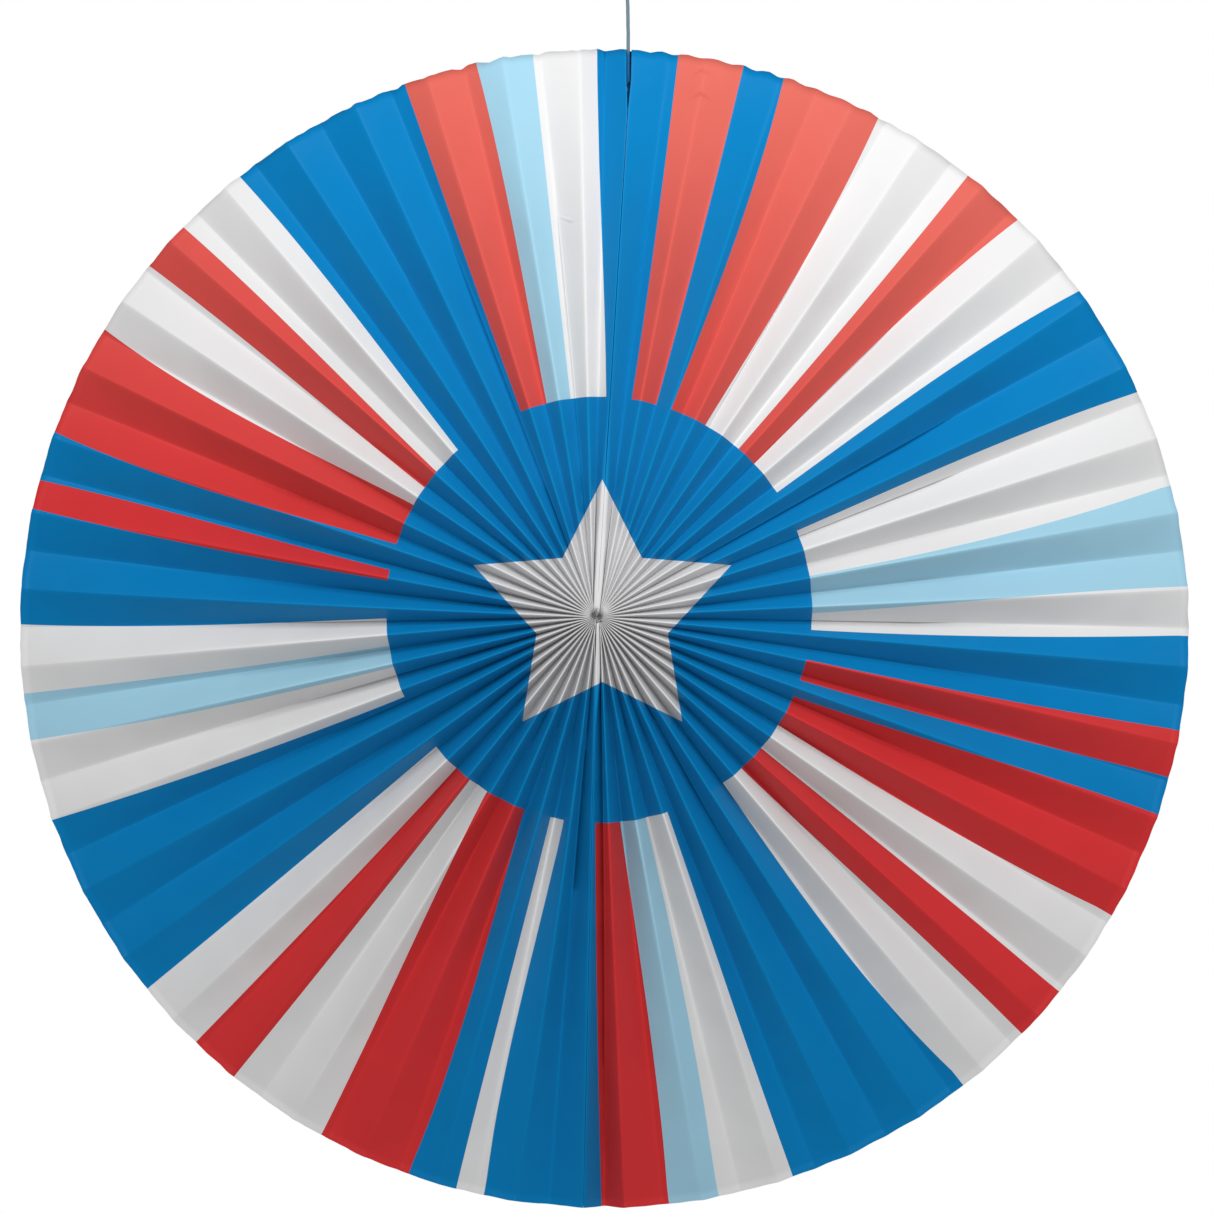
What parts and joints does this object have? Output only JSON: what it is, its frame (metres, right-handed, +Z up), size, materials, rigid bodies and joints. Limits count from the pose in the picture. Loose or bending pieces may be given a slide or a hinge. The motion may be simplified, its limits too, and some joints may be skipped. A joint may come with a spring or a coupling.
{
  "type": "paper fan medallion",
  "caption": "Round hanging fan of pleated printed paper: half-circle leaves joined at glued tabs, gathered by a thread at a small hub and hung by a looped string.",
  "frame": {"origin": "middle of the round rim seen from the front, half-way between the front and back folds at the hub", "axes": "+X to the right as seen from the printed front, +Y from the printed front to the plain back, +Z up towards the hanging string"},
  "size_m": [0.7639, 0.0353, 0.8529],
  "materials": {
    "printed_paper": "satin",
    "adhesive_tape": "matte",
    "white_thread": "matte",
    "grey_string": "matte"
  },
  "bodies": {
    "root": {"right_leaf": "printed_paper", "left_leaf": "printed_paper", "top_seam_tape": "adhesive_tape", "bottom_seam_tape": "adhesive_tape", "hub_thread": "white_thread", "hanging_string": "grey_string", "string_knot": "grey_string"}
  },
  "joints": []
}
